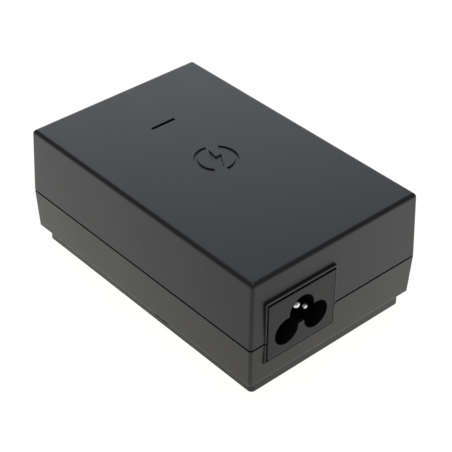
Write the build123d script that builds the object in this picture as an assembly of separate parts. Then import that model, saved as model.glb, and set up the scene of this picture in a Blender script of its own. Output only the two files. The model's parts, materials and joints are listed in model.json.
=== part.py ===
from build123d import *

import math
import os

# Desktop power-over-ethernet injector: a two-shell plastic case on a slide-on wall bracket.
# Millimetres. Origin: centre of the base, on the surface that the bracket stands on.
# +X points to the end with the mains inlet, +Y across the case, +Z up.

# ---------------------------------------------------------------- driving dimensions
BRACKET_H = 4.2            # wall bracket, the plinth under the case
LOWER_H = 12.5             # lower shell, from its underside to the seam
UPPER_H = 19.8             # upper shell, from the seam to the top face
SEAM_L, SEAM_W = 90.5, 58.8          # outline at the seam, where the case is widest
CASE_R = 0.85                        # radius of the four upright edges
UPPER_DRAFT = 0.67         # inset of each upper wall between the seam and the top
LOWER_DRAFT = 0.5          # inset of each lower wall between the seam and the underside
INNER_R = 0.8              # upright corners of the two cavities
TOP_FILLET = 1.2
BASE_FILLET = 0.35
SEAM_FILLET = 0.15         # the two edges along the shadow line
WALL = 2.0
TOP_WALL = 2.2
FLOOR = 2.2
SEAM_GAP = 0.42            # shadow line between the shells
TONGUE_INSET = 0.9         # outer face of the locating tongue, from the outer wall
TONGUE_T = 1.0
TONGUE_H = 1.5             # how far the tongue stands above the seam
FIT_GAP = 0.05             # between the tongue and its rabbet

CASE_Z = BRACKET_H                    # underside of the case
SEAM_Z = CASE_Z + LOWER_H
TOP_Z = SEAM_Z + UPPER_H
FRAME_X = SEAM_L / 2 + 0.3            # front of the raised frames on the two end walls

# circuit board
PCB_TOP = CASE_Z + 6.2
PCB_T = 1.6
PCB_L, PCB_W = 84.8, 53.6

# mains inlet, in the +X end wall
INLET_Y = (-23.95, -1.2)
INLET_Z = (PCB_TOP, PCB_TOP + 17.55)
INLET_BACK = 28.0
FRAME_RIM = {"left": 0.9, "right": 0.6, "top": 1.35, "bottom": 0.75}
# the inlet sits low and to the right in its opening
INLET_GAP = {"left": 0.52, "right": 0.02, "top": 0.7, "bottom": 0.02}
JACK_GAP = 0.25                       # round the jacks' shields
PIN_SPACING = 10.0                    # line to neutral
EARTH_RISE = 4.4                      # earth contact above the line to neutral line
LOBE_R, EARTH_LOBE_R = 4.0, 4.2
CLOVER_Y, CLOVER_Z = -12.6, PCB_TOP + 6.55     # midpoint between the line and neutral contacts
CLOVER_DEPTH = 13.5
PIN_R, SHANK_R = 1.18, 0.9
PIN_TIP = 3.2                         # line and neutral tips, behind the inlet's face
EARTH_TIP = 1.3                       # the earth contact reaches further forward

# the two network jacks, in the -X end wall
JACK_Y = {"lan": -9.5, "poe": 9.5}
JACK_W, JACK_H, JACK_DEPTH = 15.5, 13.2, 20.3
JACK_FRONT = -(SEAM_L / 2)
SHIELD_T = 0.25
PORT_W, PORT_H, PORT_DEPTH = 11.9, 7.0, 14.5
PORT_Z = PCB_TOP + 2.5                # lower face of the plug cavity
LATCH_W, LATCH_H, LATCH_DEPTH = 6.2, 2.4, 12.5
CONTACT_PITCH = 1.02

# status light on the top face
LED_X, LED_Y = -23.35, 0.15
SLOT_L, SLOT_W = 8.0, 1.0              # the slot runs along Y
PIPE_RECESS = 1.4                     # the light pipe ends this far below the top face
# emblem pressed into the top face
EMBLEM_X, EMBLEM_Y, EMBLEM_D, EMBLEM_DEPTH = -1.2, 0.15, 12.2, 0.35

# reset button, beside the jacks
BUTTON_Y, BUTTON_Z, BUTTON_R = 22.6, PCB_TOP + 3.1, 1.5

# label on the underside
LABEL_L, LABEL_W, LABEL_RECESS = 43.4, 29.4, 0.15

# wall bracket
BRACKET_X = (-42.5, 43.3)
BRACKET_W = 54.1
BRACKET_R = 1.3
WEB_T = 1.2                 # the web that the hooks slide on
RIM_T = 1.6
HOOKS = [(x, y) for x in (-30.0, 30.0) for y in (-20.0, 20.0)]
SLIDE = 8.0                           # travel that frees the hooks
LATCH_X, LATCH_Y = 8.0, -22.4         # bump of the latch tongue
SCREW_X = (-25.0, 25.0)               # wall screw holes, from the bracket's middle
SCREW_R, SCREW_HEAD_R = 2.2, 4.2

# board supports: posts of the upper shell press the board down on the lower shell's standoffs
POSTS = [(-40.0, -24.0), (-31.0, 24.0), (40.0, 24.0), (25.5, -24.0)]
PEGS = [(-29.0, -22.5), (28.5, 24.2)]
POST_R, STANDOFF_R, PEG_R = 1.8, 2.0, 1.1

# components on the board
FUSE_X = (31.5, 38.5)                 # inner faces of the two caps
FUSE_Y, FUSE_Z = 2.2, PCB_TOP + 2.4
CHOKE = (35.0, 19.2)                  # common-mode choke, centre in X and Y
CHOKE_R, CHOKE_HOLE, CHOKE_T = 5.6, 2.6, 4.4
TRANSFORMER = (4.0, -9.5)             # centre in X and Y
CORE_L, CORE_D, CORE_H = 20.0, 6.0, 17.0
CORE_Z = PCB_TOP + 1.6                # underside of the core
CORE_YOKE = 2.9
OUTPUT_CHOKE = (-16.3, 3.6)           # centre in X and Y
PRIMARY_Y, SECONDARY_Y = -24.1, 24.1  # faces of the two heatsinks
HEATSINK_T, HEATSINK_H = 1.4, 20.5
TRANSISTOR_X, RECTIFIER_X = 14.0, -10.0
TAB_HOLE_Z = PCB_TOP + 16.2           # screw holes of the two packages
LEAD_PITCH = 2.54


# ---------------------------------------------------------------- helpers
def block(x, y, z):
    """A box from its (low, high) pairs."""
    centre = Pos((x[0] + x[1]) / 2, (y[0] + y[1]) / 2, (z[0] + z[1]) / 2)
    return centre * Box(x[1] - x[0], y[1] - y[0], z[1] - z[0])


def upright(x, y, z, radius):
    """A vertical cylinder between two heights."""
    return Pos(x, y, (z[0] + z[1]) / 2) * Cylinder(radius, z[1] - z[0])


def lying(x, y, z, radius):
    """A cylinder along X between two stations."""
    return Pos((x[0] + x[1]) / 2, y, z) * Rot(0, 90, 0) * Cylinder(radius, x[1] - x[0])


def drafted(length, width, radius, height, inset):
    """A box on z = 0 that narrows by inset on each side over its height, its upright edges rounded."""
    taper = math.degrees(math.atan2(inset, height))
    body = extrude(Rectangle(length, width), amount=height, taper=taper)
    return fillet(body.edges().group_by(Axis.Z)[1], radius)


def soft_block(x, y, z, radius):
    """A box with every edge rounded."""
    body = block(x, y, z)
    return fillet(body.edges(), radius)


def strip(points, thickness, width):
    """A bent flat wire: its centre line in X and Z, swept along Y, centred on y = 0."""
    face = Sketch()
    for (x0, z0), (x1, z1) in zip(points, points[1:]):
        run = math.hypot(x1 - x0, z1 - z0)
        turn = math.degrees(math.atan2(z1 - z0, x1 - x0))
        face += Pos((x0 + x1) / 2, (z0 + z1) / 2) * Rot(0, 0, turn) * Rectangle(run, thickness)
    for x, z in points[1:-1]:
        face += Pos(x, z) * Circle(thickness / 2)
    return extrude(Plane.XZ * face, amount=width / 2, both=True)


def save(node, shape):
    solids = list(shape.solids())
    part = solids[0] if len(solids) == 1 else Compound(solids)
    export_step(part, f"parts/{node}.step")


# ---------------------------------------------------------------- openings in the end walls
def end_frame(front, y, z):
    """The raised, drafted-wall frame around an opening; front is its face's X."""
    back = front - math.copysign(4.0, front)
    body = block(sorted((front, back)), y, z)
    body = fillet(body.edges().filter_by(Axis.X), 0.6)
    face = body.faces().sort_by(Axis.X)[-1 if front > 0 else 0]
    return fillet(face.edges(), 0.25)


def inlet_frame():
    y = (INLET_Y[0] - FRAME_RIM["left"], INLET_Y[1] + FRAME_RIM["right"])
    z = (INLET_Z[0] - FRAME_RIM["bottom"], INLET_Z[1] + FRAME_RIM["top"])
    return end_frame(FRAME_X, y, z)


def jack_frame():
    reach = JACK_Y["poe"] + JACK_W / 2 + 1.4
    return end_frame(-FRAME_X, (-reach, reach), (PCB_TOP - 1.1, PCB_TOP + JACK_H + 1.7))


def end_openings():
    """What is cut from the shells for the inlet and the jacks, with gaps round them."""
    inlet_y = (INLET_Y[0] - INLET_GAP["left"], INLET_Y[1] + INLET_GAP["right"])
    inlet_z = (INLET_Z[0] - INLET_GAP["bottom"], INLET_Z[1] + INLET_GAP["top"])
    cuts = [block((40.0, 50.0), inlet_y, inlet_z)]
    half = JACK_W / 2 + SHIELD_T + JACK_GAP
    jack_z = (PCB_TOP - JACK_GAP, PCB_TOP + JACK_H + SHIELD_T + JACK_GAP)
    for y in JACK_Y.values():
        cuts.append(block((-50.0, -40.0), (y - half, y + half), jack_z))
    return cuts


# ---------------------------------------------------------------- case
def emblem():
    """A lightning bolt in a broken ring, as a sketch centred on the origin."""
    ring = Circle(EMBLEM_D / 2) - Circle(EMBLEM_D / 2 - 1.1)
    ring -= Rot(0, 0, 62) * Rectangle(EMBLEM_D + 2, 3.4)
    bolt = [(1.0, 4.3), (-2.3, -0.5), (-0.3, -0.5), (-1.0, -4.3), (2.3, 0.7), (0.4, 0.7)]
    return ring + make_face(Polyline(*bolt, close=True))


def upper_shell():
    outer = Pos(0, 0, SEAM_Z) * drafted(SEAM_L, SEAM_W, CASE_R, UPPER_H, UPPER_DRAFT)
    outer = fillet(outer.faces().sort_by(Axis.Z)[-1].edges(), TOP_FILLET)
    outer = fillet(outer.faces().sort_by(Axis.Z)[0].edges(), SEAM_FILLET)
    above_seam = block((-60, 60), (-40, 40), (SEAM_Z, TOP_Z))
    outer += (inlet_frame() & above_seam) + (jack_frame() & above_seam)
    inner_h = UPPER_H - TOP_WALL
    inset = UPPER_DRAFT * inner_h / UPPER_H
    inner = drafted(SEAM_L - 2 * WALL, SEAM_W - 2 * WALL, INNER_R, inner_h, inset)
    shell = outer - Pos(0, 0, SEAM_Z) * inner
    rabbet = 2 * (TONGUE_INSET - FIT_GAP)
    rim = RectangleRounded(SEAM_L - rabbet, SEAM_W - rabbet, 0.55)
    shell -= Pos(0, 0, SEAM_Z) * extrude(rim, amount=TONGUE_H + FIT_GAP)
    for x, y in POSTS:
        shell += upright(x, y, (PCB_TOP, TOP_Z - TOP_WALL + 0.5), POST_R)
    # collar that holds the light pipe
    ceiling = TOP_Z - TOP_WALL
    collar_z = (ceiling - 1.6, ceiling + 0.1)
    shell += block((LED_X - 2.4, LED_X + 2.4), (LED_Y - 5.8, LED_Y + 5.8), collar_z)
    shell -= block((LED_X - 1.4, LED_X + 1.4), (LED_Y - 4.8, LED_Y + 4.8), (ceiling - 2, ceiling))
    slot = RectangleRounded(SLOT_W, SLOT_L, 0.25)
    shell -= Pos(LED_X, LED_Y, TOP_Z - 5) * extrude(slot, amount=6)
    shell -= Pos(EMBLEM_X, EMBLEM_Y, TOP_Z - EMBLEM_DEPTH) * Rot(0, 0, 90) * extrude(emblem(), amount=1)
    for cut in end_openings():
        shell -= cut
    return shell


def lower_shell():
    wall_top = SEAM_Z - SEAM_GAP
    outer = drafted(SEAM_L, SEAM_W, CASE_R, LOWER_H - SEAM_GAP, LOWER_DRAFT)
    outer = fillet(outer.faces().sort_by(Axis.Z)[-1].edges(), BASE_FILLET)
    outer = fillet(outer.faces().sort_by(Axis.Z)[0].edges(), SEAM_FILLET)
    outer = Pos(0, 0, wall_top) * Rot(180, 0, 0) * outer
    below_seam = block((-60, 60), (-40, 40), (CASE_Z, wall_top))
    outer += (inlet_frame() & below_seam) + (jack_frame() & below_seam)
    tongue = RectangleRounded(SEAM_L - 2 * TONGUE_INSET, SEAM_W - 2 * TONGUE_INSET, 0.5)
    outer += Pos(0, 0, SEAM_Z - 2) * extrude(tongue, amount=2 + TONGUE_H)
    inner_h = LOWER_H - FLOOR
    inset = LOWER_DRAFT * inner_h / LOWER_H
    inner = drafted(SEAM_L - 2 * WALL, SEAM_W - 2 * WALL, INNER_R, inner_h, inset)
    shell = outer - Pos(0, 0, SEAM_Z) * Rot(180, 0, 0) * inner
    reach = 2 * (TONGUE_INSET + TONGUE_T)
    mouth = RectangleRounded(SEAM_L - reach, SEAM_W - reach, 0.6)
    shell -= Pos(0, 0, SEAM_Z) * extrude(mouth, amount=TONGUE_H + 1)
    floor_z = CASE_Z + FLOOR
    board_z = PCB_TOP - PCB_T
    for x, y in POSTS + PEGS:
        shell += upright(x, y, (floor_z - 0.5, board_z), STANDOFF_R)
    for x, y in PEGS:
        shell += upright(x, y, (board_z, PCB_TOP + 0.6), PEG_R)
    shell += [hook(x, y) for x, y in HOOKS]
    # shallow recess for the label, and the groove that the bracket's latch runs in
    half_l, half_w = LABEL_L / 2 + 0.3, LABEL_W / 2 + 0.3
    shell -= block((-half_l, half_l), (-half_w, half_w), (CASE_Z - 1, CASE_Z + LABEL_RECESS))
    groove = (LATCH_X - 3.0, LATCH_X + 3.0 + SLIDE)
    shell -= block(groove, (LATCH_Y - 1.3, LATCH_Y + 1.3), (CASE_Z - 1, CASE_Z + 0.8))
    shell -= lying((-50, -40), BUTTON_Y, BUTTON_Z, BUTTON_R + 0.25)
    for cut in end_openings():
        shell -= cut
    return shell


def hook(x, y):
    """A T-shaped hook under the case; its head lies below the bracket's web."""
    neck = block((x - 1.5, x + 1.5), (y - 1.2, y + 1.2), (CASE_Z - 1.5, CASE_Z + 0.5))
    head = block((x - 1.5, x + 1.5), (y - 2.8, y + 2.8), (CASE_Z - 2.4, CASE_Z - 1.4))
    return neck + head


def light_pipe():
    ceiling = TOP_Z - TOP_WALL
    slot = RectangleRounded(SLOT_W - 0.1, SLOT_L - 0.1, 0.2)
    head = Pos(LED_X, LED_Y, ceiling) * extrude(slot, amount=TOP_WALL - PIPE_RECESS)
    flange = block((LED_X - 1.3, LED_X + 1.3), (LED_Y - 4.7, LED_Y + 4.7), (ceiling - 1.2, ceiling))
    stem = upright(LED_X, 0, (PCB_TOP + 6.1, ceiling - 1.2), 1.3)
    return head + flange + stem


def status_led():
    dome_z = PCB_TOP + 4.3
    body = upright(LED_X, 0, (PCB_TOP + 1.6, dome_z), 1.5)
    rim = upright(LED_X, 0, (PCB_TOP + 0.8, PCB_TOP + 1.6), 1.6)
    dome = Pos(LED_X, 0, dome_z) * Sphere(1.5)
    led = body + rim + dome
    for y in (-0.9, 0.9):
        led += block((LED_X - 0.2, LED_X + 0.2), (y - 0.2, y + 0.2), (PCB_TOP, PCB_TOP + 0.8))
    return led


def rating_label():
    foil_z = (CASE_Z + LABEL_RECESS - 0.1, CASE_Z + LABEL_RECESS)
    return block((-LABEL_L / 2, LABEL_L / 2), (-LABEL_W / 2, LABEL_W / 2), foil_z)


# ---------------------------------------------------------------- wall bracket
def wall_bracket():
    mid_x = sum(BRACKET_X) / 2
    length = BRACKET_X[1] - BRACKET_X[0]
    outline = RectangleRounded(length, BRACKET_W, BRACKET_R)
    body = Pos(mid_x, 0, 0) * extrude(outline, amount=BRACKET_H)
    body = fillet(body.edges().group_by(Axis.Z)[0], 0.15)
    hollow = RectangleRounded(length - 2 * RIM_T, BRACKET_W - 2 * RIM_T, 0.5)
    body -= Pos(mid_x, 0, -1) * extrude(hollow, amount=BRACKET_H - WEB_T + 1)
    web_z = BRACKET_H - WEB_T
    # stiffening ribs on the wall side, clear of the hooks' heads
    for y in (-12.5, 0.0, 12.5):
        body += block((BRACKET_X[0] + 1, BRACKET_X[1] - 1), (y - 0.6, y + 0.6), (0, web_z + 0.2))
    for x in (mid_x - 15.0, mid_x, mid_x + 15.0):
        body += block((x - 0.6, x + 0.6), (-BRACKET_W / 2 + 1, BRACKET_W / 2 - 1), (0, web_z + 0.2))
    for x in SCREW_X:
        body += upright(x + mid_x, 0, (0, BRACKET_H), 5.6)
        body -= upright(x + mid_x, 0, (-1, BRACKET_H + 1), SCREW_R)
        depth = SCREW_HEAD_R - SCREW_R
        seat = Pos(x + mid_x, 0, BRACKET_H - depth / 2) * Cone(SCREW_R, SCREW_HEAD_R, depth)
        body -= seat
    # slots for the hooks: narrow where they lock, wide where they enter
    for x, y in HOOKS:
        body -= block((x - 1.7 - SLIDE, x + 1.7), (y - 1.5, y + 1.5), (web_z - 0.1, BRACKET_H + 1))
        entry = (x - 1.9 - SLIDE, x + 1.9 - SLIDE)
        body -= block(entry, (y - 3.1, y + 3.1), (web_z - 0.1, BRACKET_H + 1))
    # latch tongue, freed by a slot on three sides, with a bump that runs in the case's groove
    through = (web_z - 1, BRACKET_H + 1)
    for y in (LATCH_Y - 2.4, LATCH_Y + 2.4):
        body -= block((LATCH_X - 9, LATCH_X + 4.4), (y - 0.4, y + 0.4), through)
    body -= block((LATCH_X + 3.6, LATCH_X + 4.4), (LATCH_Y - 2.8, LATCH_Y + 2.8), through)
    bump_z = (BRACKET_H - 0.4, BRACKET_H + 0.6)
    body += block((LATCH_X + 0.2, LATCH_X + 2.4), (LATCH_Y - 0.8, LATCH_Y + 0.8), bump_z)
    # finger notch in the rim beside the latch
    side_y = -BRACKET_W / 2
    body -= block((LATCH_X - 2.8, LATCH_X + 2.8), (side_y - 1, side_y + 0.7), (1.5, 4))
    return body


# ---------------------------------------------------------------- mains inlet
def clover():
    """The three-lobed inlet opening in Y and Z, about the middle of the two lower pins."""
    lobes = Sketch()
    for side in (-1, 1):
        lobes += Pos(side * PIN_SPACING / 2, 0) * Circle(LOBE_R)
    lobes += Pos(0, EARTH_RISE) * Circle(EARTH_LOBE_R)
    return lobes


def ac_inlet_housing():
    left, right = INLET_Y
    low, high = INLET_Z
    body = soft_block((40.0, FRAME_X), INLET_Y, INLET_Z, 0.25)
    # flange behind the case's end wall
    body += block((41.1, 42.6), (left - 1.4, right + 1.2), (low, high + 1.4))
    body += block((INLET_BACK, 41.0), (left + 0.3, right - 0.3), (low, high - 0.3))
    mouth = Plane(origin=(FRAME_X + 1, CLOVER_Y, CLOVER_Z), x_dir=(0, 1, 0), z_dir=(1, 0, 0))
    body -= extrude(mouth * clover(), amount=-(CLOVER_DEPTH + 1))
    for y, z in pin_places().values():
        body -= lying((INLET_BACK - 1, FRAME_X), y, z, SHANK_R)
    return body


def pin_places():
    half = PIN_SPACING / 2
    return {
        "line": (CLOVER_Y - half, CLOVER_Z),
        "neutral": (CLOVER_Y + half, CLOVER_Z),
        "earth": (CLOVER_Y, CLOVER_Z + EARTH_RISE),
    }


def inlet_pin(name):
    """A round contact, its shank through the housing's back, and its tail down to the board."""
    y, z = pin_places()[name]
    tip = FRAME_X - (EARTH_TIP if name == "earth" else PIN_TIP)
    root = FRAME_X - CLOVER_DEPTH
    pin = lying((root, tip), y, z, PIN_R)
    pin = fillet(pin.edges().sort_by(Axis.X)[-1], PIN_R * 0.95)
    tail_x = INLET_BACK - (2.4 if name == "earth" else 1.0)
    shank = lying((tail_x, root), y, z, SHANK_R)
    tail = block((tail_x - 0.6, tail_x + 0.2), (y - 1.0, y + 1.0), (PCB_TOP, z + 1.0))
    return pin + shank + tail


# ---------------------------------------------------------------- network jacks
def jack_housing(y):
    back = JACK_FRONT + JACK_DEPTH
    low, high = PCB_TOP, PCB_TOP + JACK_H
    body = block((JACK_FRONT, back), (y - JACK_W / 2, y + JACK_W / 2), (low, high))
    half = PORT_W / 2
    port_x = (JACK_FRONT - 1, JACK_FRONT + PORT_DEPTH)
    body -= block(port_x, (y - half, y + half), (PORT_Z, PORT_Z + PORT_H))
    latch_z = PORT_Z + PORT_H
    half = LATCH_W / 2
    latch_x = (JACK_FRONT - 1, JACK_FRONT + LATCH_DEPTH)
    body -= block(latch_x, (y - half, y + half), (latch_z - 1, latch_z + LATCH_H))
    # lead-in lip that the plug's latch snaps behind
    lip_x, lip_z = (JACK_FRONT, JACK_FRONT + 1.6), (latch_z, latch_z + 1.0)
    body += block(lip_x, (y - half - 0.5, y - 1.7), lip_z)
    body += block(lip_x, (y + 1.7, y + half + 0.5), lip_z)
    for wire_y in contact_places(y):
        groove = (wire_y - 0.3, wire_y + 0.3)
        body -= block((JACK_FRONT + 0.8, back + 1), groove, (PORT_Z - 1.2, PORT_Z + 0.1))
    return body


def contact_places(y):
    """Y of a jack's eight contacts."""
    return [y + (i - 3.5) * CONTACT_PITCH for i in range(8)]


def jack_contacts(y):
    """Eight spring wires: along the jack's floor, folded back at the front and rising inwards."""
    back = JACK_FRONT + JACK_DEPTH
    run_z = PORT_Z - 0.9
    line = [
        (back + 0.6, PCB_TOP),
        (back + 0.6, run_z),
        (JACK_FRONT + 1.5, run_z),
        (JACK_FRONT + 1.9, run_z + 0.55),
        (JACK_FRONT + 12.0, PORT_Z + 2.0),
    ]
    wire = strip(line, 0.3, 0.45)
    return [Pos(0, wire_y, 0) * wire for wire_y in contact_places(y)]


def jack_shield(y):
    """Stamped steel cover: roof, cheeks, upper back and a front frame round the port."""
    half = JACK_W / 2 + SHIELD_T
    roof = PCB_TOP + JACK_H
    back = JACK_FRONT + JACK_DEPTH
    top = block((JACK_FRONT, back + SHIELD_T), (y - half, y + half), (roof, roof + SHIELD_T))
    rear = block((back, back + SHIELD_T), (y - half, y + half), (PCB_TOP + 4.1, roof + SHIELD_T))
    front = block((JACK_FRONT - SHIELD_T, JACK_FRONT), (y - half, y + half), (PCB_TOP, roof + SHIELD_T))
    port_top = PORT_Z + PORT_H + 0.3
    reach = PORT_W / 2 + 0.3
    port = block((-50, -40), (y - reach, y + reach), (PORT_Z - 0.4, port_top))
    reach = LATCH_W / 2 + 0.3
    latch = block((-50, -40), (y - reach, y + reach), (PORT_Z, port_top + LATCH_H))
    cover = top + rear + (front - port - latch)
    for side in (-1, 1):
        cheek = sorted((y + side * (half - SHIELD_T), y + side * half))
        cover += block((JACK_FRONT, back + SHIELD_T), cheek, (PCB_TOP, roof + SHIELD_T))
    return cover


def ethernet_magnetics():
    """Isolation transformer module behind the jacks, on gull-wing legs."""
    x, y, z = (-21.0, -11.0), (-20.0, -5.0), (PCB_TOP + 0.3, PCB_TOP + 6.0)
    body = soft_block(x, y, z, 0.3)
    for side in (-1, 1):
        foot = x[1] if side > 0 else x[0]
        for i in range(8):
            leg_y = y[0] + 2.0 + i * 1.57
            reach = sorted((foot - side * 0.5, foot + side * 0.9))
            body += block(reach, (leg_y - 0.25, leg_y + 0.25), (PCB_TOP, PCB_TOP + 0.35))
    return body


def surge_suppressors():
    """Four moulded diodes on the data lines."""
    chips = []
    for i in range(4):
        x = -22.4 + i * 4.2
        chips.append(block((x - 1.3, x + 1.3), (-25.2, -21.4), (PCB_TOP, PCB_TOP + 2.2)))
    return chips


# ---------------------------------------------------------------- reset switch
def reset_switch():
    x = (JACK_FRONT + 4.9, JACK_FRONT + 8.9)
    body = block(x, (BUTTON_Y - 3, BUTTON_Y + 3), (PCB_TOP, BUTTON_Z + 2.6))
    body = fillet(body.edges().filter_by(Axis.X), 0.4)
    return body - lying((JACK_FRONT + 4.5, JACK_FRONT + 6.4), BUTTON_Y, BUTTON_Z, 1.05)


def reset_plunger():
    return lying((JACK_FRONT + 4.1, JACK_FRONT + 5.9), BUTTON_Y, BUTTON_Z, 0.95)


def reset_button():
    cap = lying((JACK_FRONT + 0.45, JACK_FRONT + 2.5), BUTTON_Y, BUTTON_Z, BUTTON_R)
    cap = fillet(cap.edges().sort_by(Axis.X)[0], 0.3)
    flange = lying((JACK_FRONT + 2.4, JACK_FRONT + 3.1), BUTTON_Y, BUTTON_Z, 2.3)
    stem = lying((JACK_FRONT + 3.0, JACK_FRONT + 4.1), BUTTON_Y, BUTTON_Z, 1.2)
    return cap + flange + stem


# ---------------------------------------------------------------- circuit board and components
def main_pcb():
    board = block((-PCB_L / 2, PCB_L / 2), (-PCB_W / 2, PCB_W / 2), (PCB_TOP - PCB_T, PCB_TOP))
    board = fillet(board.edges().filter_by(Axis.Z), 1.5)
    # isolation slot between the mains and the low-voltage side, under the transformer
    board -= block((-1.0, 0.2), (-2.0, 20.0), (0, 20))
    for x, y in PEGS:
        board -= upright(x, y, (0, 20), PEG_R + 0.15)
    return board


def insulation_sheet():
    """Fish-paper liner between the board's solder side and the floor of the case."""
    floor_z = CASE_Z + FLOOR
    sheet = block((-42.4, 42.4), (-26.6, 26.6), (floor_z, floor_z + 0.4))
    for x, y in POSTS + PEGS:
        sheet -= upright(x, y, (0, 20), STANDOFF_R + 0.3)
    return sheet


def fuse_tube():
    return lying(FUSE_X, FUSE_Y, FUSE_Z, 1.7)


def fuse_caps():
    caps = []
    for x, side in zip(FUSE_X, (-1, 1)):
        cap = lying(sorted((x - side * 2.0, x + side * 0.6)), FUSE_Y, FUSE_Z, 2.1)
        cap -= lying(sorted((x - side * 3.0, x)), FUSE_Y, FUSE_Z, 1.7)
        lead_x = x + side * 0.9
        lead = block((lead_x - 0.4, lead_x + 0.4), (FUSE_Y - 0.4, FUSE_Y + 0.4), (PCB_TOP, FUSE_Z))
        caps.append(cap + lead)
    return caps


def disc_part(x, y, radius, thickness, rise):
    """A dipped ceramic disc standing across X on two leads."""
    centre_z = PCB_TOP + rise + radius
    disc = lying((x - thickness / 2, x + thickness / 2), y, centre_z, radius)
    disc = fillet(disc.edges().filter_by(GeomType.CIRCLE), thickness * 0.35)
    for side in (-1, 1):
        lead_y = y + side * radius * 0.55
        disc += block((x - 0.35, x + 0.35), (lead_y - 0.35, lead_y + 0.35), (PCB_TOP, centre_z))
    return disc


def x_capacitor():
    return soft_block((28.5, 41.0), (5.2, 11.2), (PCB_TOP, PCB_TOP + 12.0), 0.5)


def choke_ring(outer, inner, thickness):
    z = PCB_TOP + CHOKE_R + 1.3
    x = (CHOKE[0] - thickness / 2, CHOKE[0] + thickness / 2)
    ring = lying(x, CHOKE[1], z, outer)
    return ring - lying((x[0] - 1, x[1] + 1), CHOKE[1], z, inner)


def choke_core():
    return choke_ring(CHOKE_R, CHOKE_HOLE, CHOKE_T)


def choke_windings():
    """Two half-ring coils, wrapped round the core on either side of it."""
    wrap = choke_ring(CHOKE_R + 0.9, CHOKE_HOLE - 0.9, CHOKE_T + 1.8) - choke_core()
    coils = []
    for side in (-1, 1):
        y = sorted((CHOKE[1] + side * 1.5, CHOKE[1] + side * 12))
        coil = wrap & block((20, 50), y, (PCB_TOP, 40))
        for x in (CHOKE[0] - 1.6, CHOKE[0] + 1.6):
            lead_y = CHOKE[1] + side * 3.4
            coil += block((x - 0.4, x + 0.4), (lead_y - 0.4, lead_y + 0.4), (PCB_TOP, PCB_TOP + 1.9))
        coils.append(coil)
    return coils


def bridge_rectifier():
    body = soft_block((21.4, 24.4), (-22.0, -8.0), (PCB_TOP + 3.0, PCB_TOP + 13.0), 0.4)
    for i in range(4):
        y = -20.4 + i * 3.6
        body += block((22.5, 23.3), (y - 0.5, y + 0.5), (PCB_TOP, PCB_TOP + 4.0))
    return body


def can_capacitor(x, y, radius, height):
    """An electrolytic can with its rolled groove, rubber seal and two leads."""
    z = PCB_TOP + 1.2
    can = upright(x, y, (z, z + height), radius)
    can = fillet(can.edges().filter_by(GeomType.CIRCLE), 0.6)
    can -= Pos(x, y, z + 2.2) * Torus(radius + 0.25, 0.7)
    can += upright(x, y, (PCB_TOP + 0.6, z + 0.5), radius * 0.7)
    for side in (-1, 1):
        lead_y = y + side * radius * 0.45
        can += block((x - 0.3, x + 0.3), (lead_y - 0.3, lead_y + 0.3), (PCB_TOP, PCB_TOP + 0.8))
    return can


def bulk_capacitor():
    return can_capacitor(17.6, 16.8, 8.0, 19.5)


def output_capacitors():
    return [can_capacitor(x, 14.0, 4.0, 12.0) for x in (-6.5, -15.5)]


def transformer_core():
    """Two ferrite E halves, joined: an outer frame round a middle leg, lying along X."""
    x, y = TRANSFORMER
    z = (CORE_Z, CORE_Z + CORE_H)
    core = block((x - CORE_L / 2, x + CORE_L / 2), (y - CORE_D / 2, y + CORE_D / 2), z)
    for side in (-1, 1):
        window = sorted((x + side * 2.9, x + side * 7.1))
        core -= block(window, (y - 10, y + 10), (z[0] + CORE_YOKE, z[1] - CORE_YOKE))
    return core


def transformer_bobbin():
    """Spool on the core's middle leg, with two flanges and rows of pins."""
    x, y = TRANSFORMER
    low, high = CORE_Z + CORE_YOKE + 0.1, CORE_Z + CORE_H - CORE_YOKE - 0.1
    spool = block((x - 3.8, x + 3.8), (y - 3.9, y + 3.9), (low, high))
    for z in (low, high - 0.9):
        spool += block((x - 7.0, x + 7.0), (y - 8.6, y + 8.6), (z, z + 0.9))
    for side in (-1, 1):
        ledge = sorted((y + side * 3.3, y + side * 8.6))
        spool += block((x - 8.5, x + 8.5), ledge, (PCB_TOP + 1.0, low + 0.5))
        for i in range(5):
            pin_x, pin_y = x - 6.0 + i * 3.0, y + side * 7.4
            pin = block((pin_x - 0.3, pin_x + 0.3), (pin_y - 0.3, pin_y + 0.3), (PCB_TOP, PCB_TOP + 1.5))
            spool += pin
    core_leg = block((x - 2.95, x + 2.95), (y - CORE_D / 2 - 0.1, y + CORE_D / 2 + 0.1), (0, 40))
    return spool - core_leg


def transformer_winding():
    """Copper and tape between the bobbin's flanges."""
    x, y = TRANSFORMER
    low, high = CORE_Z + CORE_YOKE + 1.0, CORE_Z + CORE_H - CORE_YOKE - 1.0
    coil = block((x - 6.6, x + 6.6), (y - 7.8, y + 7.8), (low, high))
    coil = fillet(coil.edges().filter_by(Axis.Z), 2.2)
    return coil - block((x - 3.8, x + 3.8), (y - 3.9, y + 3.9), (0, 40))


def heatsink(x, y, side):
    """Aluminium plate with its top edge turned inwards; side is the Y direction of the case wall."""
    top = PCB_TOP + HEATSINK_H
    plate = block(x, sorted((y, y + side * HEATSINK_T)), (PCB_TOP, top))
    lip = sorted((y - side * 1.2, y + side * 0.2))
    return plate + block((x[0] + 1, x[1] - 1), lip, (top - HEATSINK_T, top))


def power_package(x, y, side):
    """A TO-220 package lying flat against a heatsink whose face is at y."""
    body = block((x - 5, x + 5), sorted((y, y - side * 4.4)), (PCB_TOP + 4, PCB_TOP + 13.2))
    tab = block((x - 5, x + 5), sorted((y, y - side * 1.3)), (PCB_TOP + 13.2, PCB_TOP + 19.0))
    package = body + tab - across(x, y, 1.65)
    for i in (-1, 0, 1):
        leg_x = x + i * LEAD_PITCH
        leg = sorted((y - side * 2.2, y - side * 2.7))
        package += block((leg_x - 0.4, leg_x + 0.4), leg, (PCB_TOP, PCB_TOP + 4.2))
    return package


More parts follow.
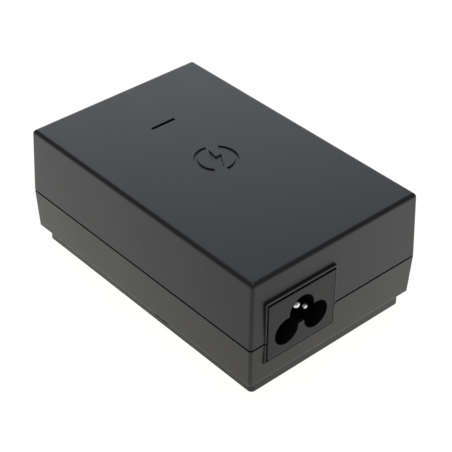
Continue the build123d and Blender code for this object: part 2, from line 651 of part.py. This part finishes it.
def across(x, y, radius):
    """The screw hole's cylinder, along Y through a package's tab."""
    return Pos(x, y, TAB_HOLE_Z) * Rot(90, 0, 0) * Cylinder(radius, 8)


def heatsink_screws():
    """M3 screws that clamp the two packages to their heatsinks."""
    screws = []
    for x, y, side in ((TRANSISTOR_X, PRIMARY_Y, -1), (RECTIFIER_X, SECONDARY_Y, 1)):
        along_y = Rot(90, 0, 0)
        shank = Pos(x, y - side * 0.05, TAB_HOLE_Z) * along_y * Cylinder(1.5, 2.7)
        head = Pos(x, y - side * 2.3, TAB_HOLE_Z) * along_y * Cylinder(2.6, 2.0)
        recess = Pos(x, y - side * 3.3, TAB_HOLE_Z) * along_y * Cylinder(1.2, 2.0)
        screws.append(shank + head - recess)
    return screws


def primary_heatsink():
    sink = heatsink((-8.0, 21.0), PRIMARY_Y, -1)
    return sink - across(TRANSISTOR_X, PRIMARY_Y, 1.5)


def secondary_heatsink():
    sink = heatsink((-22.0, 2.0), SECONDARY_Y, 1)
    return sink - across(RECTIFIER_X, SECONDARY_Y, 1.5)


def dual_inline(x, y, length, width, pins):
    """A small moulded chip with legs along its two long sides, which run along X."""
    body_x, body_y = (x - length / 2, x + length / 2), (y - width / 2, y + width / 2)
    body = soft_block(body_x, body_y, (PCB_TOP + 0.5, PCB_TOP + 3.6), 0.25)
    for side in (-1, 1):
        for i in range(pins):
            leg_x = x + (i - (pins - 1) / 2) * LEAD_PITCH
            leg = sorted((y + side * (width / 2 - 0.4), y + side * (width / 2 + 0.7)))
            body += block((leg_x - 0.3, leg_x + 0.3), leg, (PCB_TOP, PCB_TOP + 1.9))
    return body


def output_choke():
    """Drum inductor: two ferrite flanges with the winding between them."""
    x, y = OUTPUT_CHOKE
    drum = upright(x, y, (PCB_TOP + 1.5, PCB_TOP + 8.5), 3.6)
    for z in (PCB_TOP, PCB_TOP + 8.4):
        drum += upright(x, y, (z, z + 1.6), 4.4)
    return drum


def resistors():
    """Axial resistors of the snubber and the start-up chain."""
    group = []
    for x, y in ((5.0, 22.6), (5.0, 19.4), (21.0, 3.6), (21.0, 6.6)):
        z = PCB_TOP + 1.4
        body = lying((x - 3.0, x + 3.0), y, z, 1.15)
        body = fillet(body.edges().filter_by(GeomType.CIRCLE), 0.4)
        lead_y = (y - 0.3, y + 0.3)
        for side in (-1, 1):
            body += block(sorted((x + side * 2.9, x + side * 4.0)), lead_y, (z - 0.3, z + 0.3))
            body += block(sorted((x + side * 3.4, x + side * 4.0)), lead_y, (PCB_TOP, z + 0.3))
        group.append(body)
    return group


def main():
    os.makedirs("parts", exist_ok=True)
    single = [
        upper_shell, lower_shell, light_pipe, status_led, rating_label, wall_bracket,
        ac_inlet_housing, ethernet_magnetics, reset_switch, reset_plunger, reset_button,
        main_pcb, insulation_sheet, fuse_tube, x_capacitor, choke_core, bridge_rectifier,
        bulk_capacitor, transformer_core, transformer_bobbin, transformer_winding,
        primary_heatsink, secondary_heatsink, output_choke,
    ]
    for make in single:
        save(make.__name__, make())
    groups = [
        surge_suppressors, fuse_caps, choke_windings, output_capacitors, heatsink_screws, resistors,
    ]
    for make in groups:
        save(make.__name__, Compound(make()))
    for name in ("line", "neutral", "earth"):
        save(f"inlet_{name}_pin", inlet_pin(name))
    for name, y in JACK_Y.items():
        save(f"{name}_jack_housing", jack_housing(y))
        save(f"{name}_jack_shield", jack_shield(y))
        save(f"{name}_jack_contacts", Compound(jack_contacts(y)))
    save("varistor", disc_part(22.0, -3.0, 4.4, 3.6, 2.0))
    save("y_capacitor", disc_part(-2.6, 5.2, 3.6, 3.0, 2.0))
    save("switching_transistor", power_package(TRANSISTOR_X, PRIMARY_Y, -1))
    save("output_rectifier", power_package(RECTIFIER_X, SECONDARY_Y, 1))
    save("pwm_controller", dual_inline(11.5, 4.2, 6.2, 6.4, 2))
    save("optocoupler", dual_inline(4.5, 8.0, 4.6, 6.4, 2))


main()
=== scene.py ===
import json
import math

import bmesh
import bpy
from mathutils import Matrix, Vector


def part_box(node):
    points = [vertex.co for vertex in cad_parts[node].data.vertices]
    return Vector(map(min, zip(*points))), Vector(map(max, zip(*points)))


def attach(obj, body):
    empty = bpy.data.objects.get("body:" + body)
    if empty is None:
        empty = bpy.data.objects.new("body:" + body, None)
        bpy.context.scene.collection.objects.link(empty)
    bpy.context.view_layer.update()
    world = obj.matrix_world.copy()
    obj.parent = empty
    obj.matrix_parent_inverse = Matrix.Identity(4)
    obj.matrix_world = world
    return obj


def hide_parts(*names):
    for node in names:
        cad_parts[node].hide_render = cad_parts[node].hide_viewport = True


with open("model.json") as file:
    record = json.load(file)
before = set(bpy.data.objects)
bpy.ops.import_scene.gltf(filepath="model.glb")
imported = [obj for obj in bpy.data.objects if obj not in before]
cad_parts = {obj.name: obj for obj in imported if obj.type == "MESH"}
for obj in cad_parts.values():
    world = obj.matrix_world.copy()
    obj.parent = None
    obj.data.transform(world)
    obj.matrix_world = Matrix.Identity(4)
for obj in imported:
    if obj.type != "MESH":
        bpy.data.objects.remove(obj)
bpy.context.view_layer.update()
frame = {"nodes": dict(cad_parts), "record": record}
SLOT_OF = {row["node"]: row["material_slot"] for row in frame["record"]["subparts"]}


# ---------------------------------------------------------------- driving values, in metres
MM = 0.001
CAMERA_PLACE = Vector((0.22878, -0.20225, 0.24498))
CAMERA_LOOK = Vector((-0.59472, 0.53286, -0.60197))
CAMERA_ROLL = math.radians(0.5646)
LENS_MM, SENSOR_MM = 111.2, 36.0

FLOOR_REACH = 6.0
FLOOR_COLOUR = 0.12
FLOOR_LIGHT = (1.0, 0.988, 0.966, 1)   # colour of the table's glow
FLOOR_NEAR, FLOOR_FAR = 0.72, 1.28     # glow on the camera's side of the object and behind it
FLOOR_WAY = (-0.618, 0.786, 0.0)       # the way that the glow grows
FLOOR_SPAN = (-0.065, 0.015)           # where it starts and ends to grow, along that way

BACKDROP = 2.0                         # radiance of the large panel behind the object
BACKDROP_AWAY, BACKDROP_RISE = 1.3, 0.42
BACKDROP_TURN = math.radians(8)        # from straight behind the object, seen from the camera
BACKDROP_SIZE = (1.3, 0.84)
BACKDROP_COLOUR = (0.89, 0.93, 1.0)
OVERHEAD = 3.0                         # radiance of the lamp above
OVERHEAD_RISE, OVERHEAD_SIZE = 1.6, (0.7, 0.7)
SURROUND = 0.2                         # radiance of the room
SURROUND_COLOUR = (0.95, 0.97, 1.0, 1)

LABEL_RECESS = 0.15 * MM
CASE_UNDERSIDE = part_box("rating_label")[1].z - LABEL_RECESS
PAINTED_HIGHLIGHT_BAND = (CASE_UNDERSIDE, CASE_UNDERSIDE + 0.3 * MM)   # painted highlight: a lighter band along the lower shell's bottom edge
HIGHLIGHT_BAND_GAIN = 12                          # how many times lighter the painted highlight makes that edge
NORMAL_SOFTENING = 0.12 * MM           # radius that every edge is shaded with

# parts whose leads pass through the board
THROUGH_HOLE = [
    "transformer_bobbin", "choke_windings", "bridge_rectifier", "bulk_capacitor", "output_capacitors",
    "varistor", "y_capacitor", "fuse_caps", "status_led", "switching_transistor", "output_rectifier",
    "pwm_controller", "optocoupler", "resistors", "inlet_line_pin", "inlet_neutral_pin",
    "inlet_earth_pin", "lan_jack_contacts", "poe_jack_contacts",
]


# ---------------------------------------------------------------- camera, floor and light
def camera():
    data = bpy.data.cameras.new("camera")
    data.sensor_width = SENSOR_MM
    data.lens = LENS_MM
    data.clip_start, data.clip_end = 0.01, 20.0
    cam = bpy.data.objects.new("camera", data)
    bpy.context.scene.collection.objects.link(cam)
    look = CAMERA_LOOK.normalized()
    level = look.cross(Vector((0, 0, 1))).normalized()
    upward = level.cross(look)
    right = level * math.cos(CAMERA_ROLL) + upward * math.sin(CAMERA_ROLL)
    up = upward * math.cos(CAMERA_ROLL) - level * math.sin(CAMERA_ROLL)
    turn = Matrix((right, up, -look)).transposed().to_4x4()
    cam.matrix_world = Matrix.Translation(CAMERA_PLACE) @ turn
    bpy.context.scene.camera = cam


def node(tree, kind, **inputs):
    """A shader node with its inputs set by name; underscores stand for spaces."""
    made = tree.nodes.new(kind)
    for name, value in inputs.items():
        made.inputs[name.replace("_", " ")].default_value = value
    return made


def floor():
    """A glowing white table: it lights the object's sides from below and shows no shadow."""
    mesh = bpy.data.meshes.new("floor")
    reach = FLOOR_REACH
    corners = [(-reach, -reach, 0), (reach, -reach, 0), (reach, reach, 0), (-reach, reach, 0)]
    mesh.from_pydata(corners, [], [(0, 1, 2, 3)])
    plane = bpy.data.objects.new("floor", mesh)
    bpy.context.scene.collection.objects.link(plane)
    mat = bpy.data.materials.new("floor_white")
    mat.use_nodes = True
    tree = mat.node_tree
    shader = tree.nodes["Principled BSDF"]
    shader.inputs["Base Color"].default_value = (FLOOR_COLOUR, FLOOR_COLOUR, FLOOR_COLOUR, 1)
    shader.inputs["Roughness"].default_value = 0.9
    shader.inputs["Specular IOR Level"].default_value = 0.0
    shader.inputs["Emission Color"].default_value = FLOOR_LIGHT
    place = tree.nodes.new("ShaderNodeTexCoord")
    along = tree.nodes.new("ShaderNodeVectorMath")
    along.operation = "DOT_PRODUCT"
    along.inputs[1].default_value = FLOOR_WAY
    tree.links.new(place.outputs["Object"], along.inputs[0])
    glow = ranged(tree, along.outputs["Value"], FLOOR_NEAR, FLOOR_FAR, *FLOOR_SPAN)
    # seen directly, the table is plain white
    ray = tree.nodes.new("ShaderNodeLightPath")
    seen = tree.nodes.new("ShaderNodeMix")
    seen.inputs["B"].default_value = 1.0
    tree.links.new(ray.outputs["Is Camera Ray"], seen.inputs["Factor"])
    tree.links.new(glow, seen.inputs["A"])
    tree.links.new(seen.outputs["Result"], shader.inputs["Emission Strength"])
    mesh.materials.append(mat)


def softbox(name, place, aim, size, radiance, colour=(1, 1, 1)):
    """A rectangular lamp of a given radiance, so that its reflection is as strong at any size."""
    data = bpy.data.lights.new(name, "AREA")
    data.shape = "RECTANGLE"
    data.size, data.size_y = size
    data.energy = radiance * math.pi * size[0] * size[1]
    data.color = colour
    lamp = bpy.data.objects.new(name, data)
    lamp.location = place
    lamp.rotation_mode = "QUATERNION"
    lamp.rotation_quaternion = (Vector(aim) - Vector(place)).to_track_quat("-Z", "Y")
    bpy.context.scene.collection.objects.link(lamp)


def lights():
    behind = Vector((CAMERA_LOOK.x, CAMERA_LOOK.y, 0)).normalized()
    place = Matrix.Rotation(BACKDROP_TURN, 3, "Z") @ behind * BACKDROP_AWAY
    place.z = BACKDROP_RISE
    softbox("backdrop", place, (0, 0, 0.03), BACKDROP_SIZE, BACKDROP, BACKDROP_COLOUR)
    softbox("overhead", (0, 0, OVERHEAD_RISE), (0, 0, 0), OVERHEAD_SIZE, OVERHEAD)
    world = bpy.data.worlds.new("studio")
    bpy.context.scene.world = world
    world.use_nodes = True
    tree = world.node_tree
    room = tree.nodes["Background"]
    room.inputs["Color"].default_value = SURROUND_COLOUR
    room.inputs["Strength"].default_value = SURROUND
    # seen directly, the room is plain white
    white = node(tree, "ShaderNodeBackground", Color=(1, 1, 1, 1))
    ray = tree.nodes.new("ShaderNodeLightPath")
    mix = tree.nodes.new("ShaderNodeMixShader")
    tree.links.new(ray.outputs["Is Camera Ray"], mix.inputs[0])
    tree.links.new(room.outputs[0], mix.inputs[1])
    tree.links.new(white.outputs[0], mix.inputs[2])
    tree.links.new(mix.outputs[0], tree.nodes["World Output"].inputs["Surface"])


# ---------------------------------------------------------------- materials
def grain(tree, scale, detail=2.0, stretch=None):
    """Noise laid out in the object's own frame; scale is in cycles per metre."""
    place = tree.nodes.new("ShaderNodeTexCoord")
    noise = node(tree, "ShaderNodeTexNoise", Scale=scale, Detail=detail, Roughness=0.55)
    source = place.outputs["Object"]
    if stretch:
        mapping = node(tree, "ShaderNodeMapping", Scale=stretch)
        tree.links.new(source, mapping.inputs["Vector"])
        source = mapping.outputs["Vector"]
    tree.links.new(source, noise.inputs["Vector"])
    return noise.outputs["Fac"]


def ranged(tree, source, low, high, start=0.3, end=0.7):
    """The source's span from start to end, mapped to low to high and clamped."""
    span = node(tree, "ShaderNodeMapRange", From_Min=start, From_Max=end, To_Min=low, To_Max=high)
    tree.links.new(source, span.inputs["Value"])
    return span.outputs["Result"]


def gap_shade_factor(tree, depth):
    """1 on open surfaces, falling to 0 inside gaps narrower than depth; it sets where shade is painted into
    gaps.
    """
    shade = node(tree, "ShaderNodeAmbientOcclusion", Distance=depth)
    shade.samples = 8
    return ranged(tree, shade.outputs["AO"], 0.0, 1.0, 0.25, 0.75)


def edge_mask(tree, radius):
    """1 along edges, 0 on flats."""
    soft = node(tree, "ShaderNodeBevel", Radius=radius)
    soft.samples = 4
    flat = tree.nodes.new("ShaderNodeNewGeometry")
    dot = tree.nodes.new("ShaderNodeVectorMath")
    dot.operation = "DOT_PRODUCT"
    tree.links.new(soft.outputs["Normal"], dot.inputs[0])
    tree.links.new(flat.outputs["Normal"], dot.inputs[1])
    return ranged(tree, dot.outputs["Value"], 1.0, 0.0, 0.80, 0.995)


def rim_mask(tree, low, high):
    """1 between two heights of the object, in metres, and 0 elsewhere."""
    place = tree.nodes.new("ShaderNodeTexCoord")
    split = tree.nodes.new("ShaderNodeSeparateXYZ")
    tree.links.new(place.outputs["Object"], split.inputs["Vector"])
    above = ranged(tree, split.outputs["Z"], 0.0, 1.0, low - 0.05 * MM, low + 0.05 * MM)
    below = ranged(tree, split.outputs["Z"], 1.0, 0.0, high - 0.05 * MM, high + 0.1 * MM)
    return product(tree, above, below)


def product(tree, first, second):
    made = tree.nodes.new("ShaderNodeMath")
    made.operation = "MULTIPLY"
    tree.links.new(first, made.inputs[0])
    tree.links.new(second, made.inputs[1])
    return made.outputs[0]


def tinted(tree, factor, below, colour):
    """A colour mixed by factor over another, which is a colour or a socket."""
    made = tree.nodes.new("ShaderNodeMix")
    made.data_type = "RGBA"
    made.inputs["B"].default_value = (*colour, 1)
    tree.links.new(factor, made.inputs["Factor"])
    if isinstance(below, bpy.types.NodeSocket):
        tree.links.new(below, made.inputs["A"])
    else:
        made.inputs["A"].default_value = (*below, 1)
    return made.outputs["Result"]


def surface(name, colour, roughness, spread=0.12, grain_mm=0.3, depth_mm=0.01, rough_spread=0.08,
            wear=0.0, wear_colour=None, stretch=None, crevice_mm=0.0, rim=None, **shader_values):
    """A principled material with colour and roughness variation, fine relief and worn edges, with an
    optional painted highlight band and optional painted shade in gaps.
    """
    mat = bpy.data.materials.new(name)
    mat.use_nodes = True
    tree = mat.node_tree
    shader = tree.nodes["Principled BSDF"]
    for key, value in shader_values.items():
        shader.inputs[key.replace("_", " ")].default_value = value
    fine = grain(tree, 1.0 / (grain_mm * MM), 3.0, stretch)
    broad = grain(tree, 55.0, 4.0)
    # four parts of the fine grain to six of the broad patches
    blend = tree.nodes.new("ShaderNodeMath")
    blend.operation = "MULTIPLY_ADD"
    blend.inputs[1].default_value = 0.4
    tree.links.new(fine, blend.inputs[0])
    tree.links.new(ranged(tree, broad, 0.0, 0.6), blend.inputs[2])
    darker = [c * (1 - spread) for c in colour]
    lighter = [min(1, c * (1 + spread)) for c in colour]
    result = tinted(tree, blend.outputs[0], darker, lighter)
    rough = ranged(tree, broad, roughness - rough_spread, roughness + rough_spread)
    if wear:
        patches = ranged(tree, grain(tree, 420.0, 5.0), 0.0, wear, 0.42, 0.66)
        worn = product(tree, edge_mask(tree, 0.25 * MM), patches)
        result = tinted(tree, worn, result, wear_colour or [min(1, c * 2.5) for c in colour])
    if rim:
        # painted highlight: the band is tinted many times lighter than the base colour, standing in for the
        # floor's reflection on the edge
        result = tinted(tree, rim_mask(tree, *rim), result, [c * HIGHLIGHT_BAND_GAIN for c in colour])
    if crevice_mm:
        # painted shade: the base colour is darkened by ambient occlusion inside narrow gaps, and the
        # roughness is raised there
        open_air = gap_shade_factor(tree, crevice_mm * MM)
        gap_shaded = tree.nodes.new("ShaderNodeVectorMath")
        gap_shaded.operation = "SCALE"
        tree.links.new(result, gap_shaded.inputs[0])
        tree.links.new(open_air, gap_shaded.inputs["Scale"])
        result = gap_shaded.outputs["Vector"]
        matt = tree.nodes.new("ShaderNodeMix")
        matt.inputs["A"].default_value = 1.0
        tree.links.new(open_air, matt.inputs["Factor"])
        tree.links.new(rough, matt.inputs["B"])
        rough = matt.outputs["Result"]
    tree.links.new(result, shader.inputs["Base Color"])
    tree.links.new(rough, shader.inputs["Roughness"])
    bump = node(tree, "ShaderNodeBump", Strength=1.0, Distance=depth_mm * MM)
    tree.links.new(fine, bump.inputs["Height"])
    soft = node(tree, "ShaderNodeBevel", Radius=NORMAL_SOFTENING)
    soft.samples = 4
    tree.links.new(soft.outputs["Normal"], bump.inputs["Normal"])
    tree.links.new(bump.outputs["Normal"], shader.inputs["Normal"])
    return mat


# what each material slot looks like: the arguments of surface()
FINISHES = {
    "case_plastic": dict(
        colour=(0.011, 0.0112, 0.0128), roughness=0.42, grain_mm=0.22, depth_mm=0.004, wear=0.2,
        rough_spread=0.015, crevice_mm=0.5,
    ),
    # painted light: the lower shell gets a lighter, warmer colour than case_plastic, standing in for the
    # warm floor's light reflected on it; it also carries the painted highlight band on its bottom edge
    "lower_case_plastic": dict(
        colour=(0.0150, 0.0146, 0.0137), roughness=0.42, grain_mm=0.22, depth_mm=0.004, wear=0.2,
        rough_spread=0.015, crevice_mm=0.5, rim=PAINTED_HIGHLIGHT_BAND,
    ),
    "bracket_plastic": dict(
        colour=(0.011, 0.011, 0.0115), roughness=0.45, grain_mm=0.22, depth_mm=0.004, wear=0.2,
        rough_spread=0.015,
    ),
    "inlet_plastic": dict(
        colour=(0.006, 0.006, 0.0065), roughness=0.42, grain_mm=0.18, depth_mm=0.003, wear=0.1,
        rough_spread=0.015, crevice_mm=2.5, Specular_IOR_Level=0.34,
    ),
    "light_pipe_plastic": dict(colour=(0.006, 0.006, 0.007), roughness=0.2, grain_mm=0.5, depth_mm=0.002),
    "led_epoxy": dict(colour=(0.6, 0.63, 0.66), roughness=0.15, Transmission_Weight=0.5, depth_mm=0.001),
    "label_foil": dict(colour=(0.6, 0.6, 0.61), roughness=0.4, Metallic=1.0, grain_mm=0.4, depth_mm=0.004),
    "nickel_plate": dict(
        colour=(0.93, 0.9, 0.84), roughness=0.08, Metallic=1.0, grain_mm=0.1, depth_mm=0.0004,
        rough_spread=0.03,
    ),
    "jack_plastic": dict(colour=(0.012, 0.012, 0.013), roughness=0.42, depth_mm=0.005, wear=0.2),
    "shield_steel": dict(
        colour=(0.58, 0.58, 0.57), roughness=0.3, Metallic=1.0, stretch=(1, 1, 12), grain_mm=0.4,
        depth_mm=0.003, wear=0.3, wear_colour=(0.8, 0.8, 0.8),
    ),
    "gold_plate": dict(colour=(0.85, 0.6, 0.22), roughness=0.2, Metallic=1.0, grain_mm=0.1, depth_mm=0.001),
    "chip_epoxy": dict(colour=(0.02, 0.02, 0.021), roughness=0.55, grain_mm=0.15, depth_mm=0.006, wear=0.3),
    "switch_plastic": dict(colour=(0.03, 0.03, 0.03), roughness=0.5, depth_mm=0.004),
    "button_plastic": dict(colour=(0.022, 0.022, 0.023), roughness=0.45, depth_mm=0.004, wear=0.4),
    "board_laminate": dict(
        colour=(0.018, 0.11, 0.045), roughness=0.32, spread=0.25, grain_mm=0.6, depth_mm=0.006,
    ),
    "liner_paper": dict(colour=(0.5, 0.45, 0.3), roughness=0.8, spread=0.1, grain_mm=0.8, depth_mm=0.03),
    "fuse_glass": dict(colour=(0.85, 0.88, 0.86), roughness=0.06, Transmission_Weight=1.0, depth_mm=0.001),
    "blue_lacquer": dict(colour=(0.02, 0.07, 0.3), roughness=0.22, grain_mm=1.5, depth_mm=0.03),
    "film_capacitor_box": dict(colour=(0.55, 0.36, 0.05), roughness=0.45, depth_mm=0.006),
    "ferrite": dict(colour=(0.035, 0.034, 0.034), roughness=0.5, grain_mm=0.3, depth_mm=0.02, wear=0.3),
    "enamelled_copper": dict(
        colour=(0.62, 0.2, 0.06), roughness=0.28, Metallic=1.0, stretch=(14, 1, 1), grain_mm=1.0,
        depth_mm=0.04,
    ),
    "capacitor_sleeve": dict(
        colour=(0.014, 0.015, 0.03), roughness=0.25, grain_mm=1.2, depth_mm=0.008, wear=0.2,
    ),
    "heatsink_aluminium": dict(
        colour=(0.7, 0.7, 0.71), roughness=0.34, Metallic=1.0, stretch=(1, 1, 14), grain_mm=0.5,
        depth_mm=0.006,
    ),
    "screw_steel": dict(colour=(0.55, 0.55, 0.54), roughness=0.3, Metallic=1.0, depth_mm=0.003),
    "resistor_lacquer": dict(colour=(0.3, 0.18, 0.08), roughness=0.3, grain_mm=0.8, depth_mm=0.01),
    "bobbin_plastic": dict(colour=(0.03, 0.028, 0.026), roughness=0.5, depth_mm=0.006),
    "yellow_tape": dict(
        colour=(0.62, 0.42, 0.04), roughness=0.24, stretch=(1, 1, 6), grain_mm=2.0, depth_mm=0.02,
    ),
}


# ---------------------------------------------------------------- pieces made here
def piece(name, mesh, material):
    """A new shown piece that rides on the case and takes its finish from a material slot."""
    obj = bpy.data.objects.new(name, mesh)
    bpy.context.scene.collection.objects.link(obj)
    mesh.materials.append(material)
    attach(obj, "case")
    return obj


def smooth_mesh(name, build):
    """A mesh filled by build(bmesh), with its normals outwards and its faces smooth."""
    made = bmesh.new()
    build(made)
    bmesh.ops.recalc_face_normals(made, faces=made.faces)
    for face in made.faces:
        face.smooth = True
    mesh = bpy.data.meshes.new(name)
    made.to_mesh(mesh)
    made.free()
    return mesh


def lead_feet(name, height):
    """Centres of the small flat faces on which a part's leads meet the board's top."""
    obj = frame["nodes"][name]
    groups = []
    for poly in obj.data.polygons:
        places = [obj.matrix_world @ obj.data.vertices[i].co for i in poly.vertices]
        points = {tuple(round(c, 6) for c in place) for place in places}
        if any(abs(point[2] - height) > 0.01 * MM for point in points):
            continue
        near = [group for group in groups if group & points]
        for group in near:
            groups.remove(group)
            points |= group
        groups.append(points)
    feet = []
    for group in groups:
        xs, ys = [point[0] for point in group], [point[1] for point in group]
        if max(max(xs) - min(xs), max(ys) - min(ys)) < 2.2 * MM:
            feet.append(((max(xs) + min(xs)) / 2, (max(ys) + min(ys)) / 2))
    return feet


def skin(made, rings):
    """Faces between rings of as many vertices, and over both ends."""
    for first, second in zip(rings, rings[1:]):
        for i in range(len(first)):
            j = (i + 1) % len(first)
            made.faces.new((first[i], first[j], second[j], second[i]))
    made.faces.new(rings[0])
    made.faces.new(rings[-1])


def solder_joints(material):
    """A concave cone of solder under the board at every lead."""
    low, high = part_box("main_pcb")
    feet = [foot for name in THROUGH_HOLE for foot in lead_feet(name, high.z)]
    # width as a share of the radius, and millimetres below the board
    profile = [(1.0, 0.0), (0.72, 0.16), (0.45, 0.42), (0.33, 0.72), (0.22, 0.84)]
    sides = 14

    def build(made):
        for x, y in feet:
            gap = min(math.hypot(x - u, y - v) for u, v in feet if (u, v) != (x, y))
            radius = min(0.95 * MM, 0.46 * gap)
            rings = []
            for wide, drop in profile:
                ring = []
                for i in range(sides):
                    turn = math.tau * i / sides
                    way = Vector((math.cos(turn), math.sin(turn), 0))
                    ring.append(made.verts.new(Vector((x, y, low.z - drop * MM)) + way * radius * wide))
                rings.append(ring)
            skin(made, rings)

    piece("solder_joints", smooth_mesh("solder_joints", build), material)


def choke_turns(material):
    """Enamelled wire wound round the choke's core, in two coils, in place of the plain solid coils."""
    low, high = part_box("choke_core")
    middle = (low + high) / 2
    outer = (high.y - low.y) / 2
    inner = outer - 3.0 * MM
    wire = 0.42 * MM
    half_r, half_x = (outer - inner) / 2 + wire, (high.x - low.x) / 2 + wire
    mean = (outer + inner) / 2
    steps, sides, turns = 28, 8, 11
    spread = math.radians(58)      # half of the angle that one coil covers
    advance = 0.06                 # radians along the core in one turn
    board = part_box("main_pcb")[1].z

    def loop_point(turn, share):
        """A point of one turn's centre line: a rounded rectangle round the core's section."""
        a = math.tau * share
        sharp = (abs(math.cos(a)) ** 5 + abs(math.sin(a)) ** 5) ** -0.2
        reach = mean + math.cos(a) * sharp * half_r
        return Vector((middle.x + math.sin(a) * sharp * half_x,
                       middle.y + math.cos(turn) * reach, middle.z + math.sin(turn) * reach))

    def tube(made, path):
        rings = []
        side = None
        for i, spot in enumerate(path):
            way = (path[min(i + 1, len(path) - 1)] - path[max(i - 1, 0)]).normalized()
            if side is None:
                side = way.orthogonal().normalized()
            else:
                side = (side - way * side.dot(way)).normalized()
            lift = way.cross(side)
            ring = []
            for k in range(sides):
                a = math.tau * k / sides
                ring.append(made.verts.new(spot + (side * math.cos(a) + lift * math.sin(a)) * wire))
            rings.append(ring)
        skin(made, rings)

    def build(made):
        for centre in (0.0, math.pi):
            for i in range(turns):
                turn = centre - spread + 2 * spread * i / (turns - 1)
                tube(made, [loop_point(turn + advance * k / steps, k / steps) for k in range(steps + 1)])
            for lead_x in (-1.6 * MM, 1.6 * MM):
                lead_y = middle.y + math.cos(centre) * 3.4 * MM
                top = Vector((middle.x + lead_x, lead_y, middle.z - outer * 0.78))
                tube(made, [top, Vector((top.x, top.y, board))])

    turned = piece("choke_wire_turns", smooth_mesh("choke_wire_turns", build), material)
    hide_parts("choke_windings")


def can_tops(material):
    """The bare aluminium tops of the capacitors inside their sleeves, scored into three to vent."""
    cans = []
    for name in ("bulk_capacitor", "output_capacitors"):
        low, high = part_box(name)
        radius = (high.y - low.y) / 2
        for x in {round(low.x + radius, 6), round(high.x - radius, 6)}:
            cans.append((x, (low.y + high.y) / 2, high.z, radius - 1.1 * MM))

    half_gap = 0.22 * MM

    def build(made):
        for x, y, z, radius in sorted(cans):
            off = math.asin(half_gap / radius)
            tip = half_gap / math.sin(math.pi / 3)
            for k in range(3):
                start, end = math.tau * k / 3 + off, math.tau * (k + 1) / 3 - off
                middle = (start + end) / 2
                outline = [(math.cos(middle) * tip, math.sin(middle) * tip)]
                for i in range(21):
                    a = start + (end - start) * i / 20
                    outline.append((math.cos(a) * radius, math.sin(a) * radius))
                face = made.faces.new([made.verts.new((x + u, y + v, z + 0.01 * MM)) for u, v in outline])
                raised = bmesh.ops.extrude_face_region(made, geom=[face])["geom"]
                corners = [item for item in raised if isinstance(item, bmesh.types.BMVert)]
                bmesh.ops.translate(made, vec=(0, 0, 0.14 * MM), verts=corners)

    tops = piece("capacitor_tops", smooth_mesh("capacitor_tops", build), material)
    bevel = tops.modifiers.new("edges", "BEVEL")
    bevel.width, bevel.segments, bevel.limit_method = 0.06 * MM, 2, "ANGLE"
    for face in tops.data.polygons:
        face.use_smooth = False


def dress_cad_nodes(made):
    for name, obj in frame["nodes"].items():
        obj.data.materials.clear()
        obj.data.materials.append(made[SLOT_OF[name]])


def main():
    bpy.context.scene.view_settings.view_transform = "Standard"
    camera()
    floor()
    lights()
    made = {slot: surface(slot, **finish) for slot, finish in FINISHES.items()}
    solder_joints(made["nickel_plate"])
    choke_turns(made["enamelled_copper"])
    can_tops(made["heatsink_aluminium"])
    dress_cad_nodes(made)


main()
